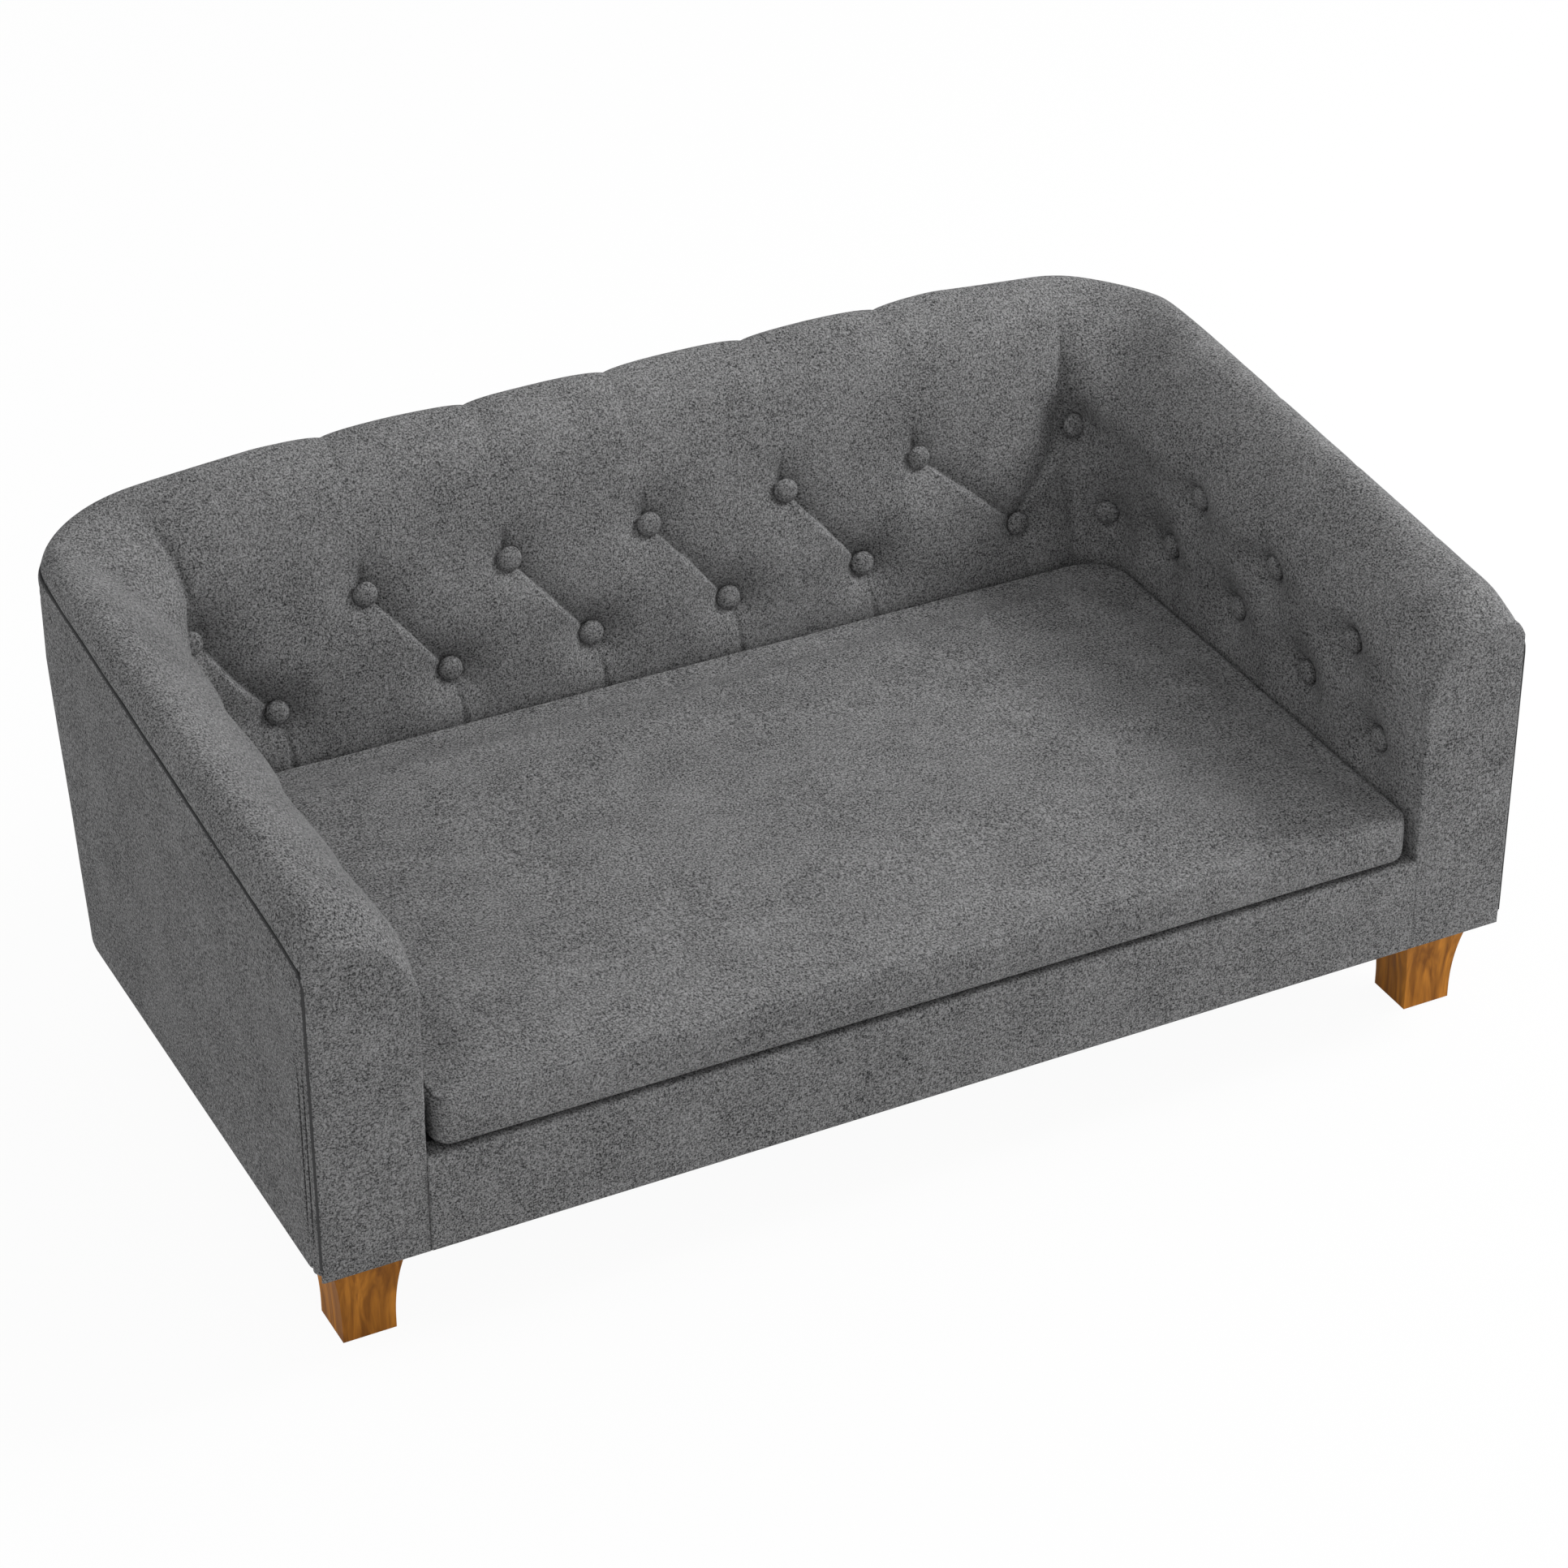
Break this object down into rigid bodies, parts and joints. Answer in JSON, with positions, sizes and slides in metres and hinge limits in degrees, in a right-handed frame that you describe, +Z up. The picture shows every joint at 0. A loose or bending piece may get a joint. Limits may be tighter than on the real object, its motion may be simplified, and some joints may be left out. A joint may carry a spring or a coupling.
{
  "type": "dog sofa bed",
  "caption": "Low dog sofa bed with button-tufted arms and leaning back, timber frame, flared wooden legs and a lift-out seat cushion",
  "frame": {"origin": "on the floor, under the centre of the bounding box", "axes": "+X along the length, to the right of someone facing the front; +Y from the open front to the back; +Z up"},
  "size_m": [0.96, 0.568, 0.4045],
  "materials": {
    "board": "plywood",
    "foam": "open-cell polyurethane foam",
    "leg_wood": "warm brown stained hardwood, satin lacquer",
    "lining": "black non-woven lining",
    "steel": "zinc-plated steel",
    "timber": "sawn softwood",
    "upholstery": "mid-grey heather woven upholstery",
    "zip": "grey nylon",
    "zip_tape": "grey woven zip tape"
  },
  "bodies": {
    "sofa_frame": {"back_cover": "upholstery", "back_foam": "foam", "back_inner_board": "board", "back_lower_buttons": "upholstery", "back_outer_board": "board", "back_posts": "timber", "back_top_rail": "timber", "back_upper_buttons": "upholstery", "deck_cloth": "lining", "dust_cover": "lining", "front_left_block": "timber", "front_left_leg": "leg_wood", "front_rail": "timber", "front_rail_cover": "upholstery", "front_right_block": "timber", "front_right_leg": "leg_wood", "left_arm_buttons": "upholstery", "left_arm_cover": "upholstery", "left_arm_facing": "upholstery", "left_arm_foam": "foam", "left_arm_front_board": "board", "left_arm_front_post": "timber", "left_arm_inner_board": "board", "left_arm_outer_board": "board", "left_arm_rear_post": "timber", "left_arm_top_batten": "timber", "left_corner_panel": "board", "left_cross_rail": "timber", "left_side_cover": "upholstery", "left_side_rail": "timber", "leg_bolts": "steel", "leg_nuts": "steel", "rear_cover": "upholstery", "rear_left_block": "timber", "rear_left_leg": "leg_wood", "rear_rail": "timber", "rear_right_block": "timber", "rear_right_leg": "leg_wood", "right_arm_buttons": "upholstery", "right_arm_cover": "upholstery", "right_arm_facing": "upholstery", "right_arm_foam": "foam", "right_arm_front_board": "board", "right_arm_front_post": "timber", "right_arm_inner_board": "board", "right_arm_outer_board": "board", "right_arm_rear_post": "timber", "right_arm_top_batten": "timber", "right_corner_panel": "board", "right_cross_rail": "timber", "right_side_cover": "upholstery", "right_side_rail": "timber", "seat_deck": "board"},
    "seat_cushion": {"cushion_cover": "upholstery", "cushion_foam": "foam", "cushion_zip_coil": "zip", "cushion_zip_tape": "zip_tape"},
    "zip_runner": {"zip_pull": "zip", "zip_slider": "zip"}
  },
  "joints": [
    {"name": "cushion_lift", "type": "slide", "parent": "sofa_frame", "child": "seat_cushion", "axis": [0, 0, 1], "range_m": [0, 0.28]},
    {"name": "zip_run", "type": "slide", "parent": "seat_cushion", "child": "zip_runner", "axis": [1, 0, 0], "range_m": [0, 0.59]}
  ]
}
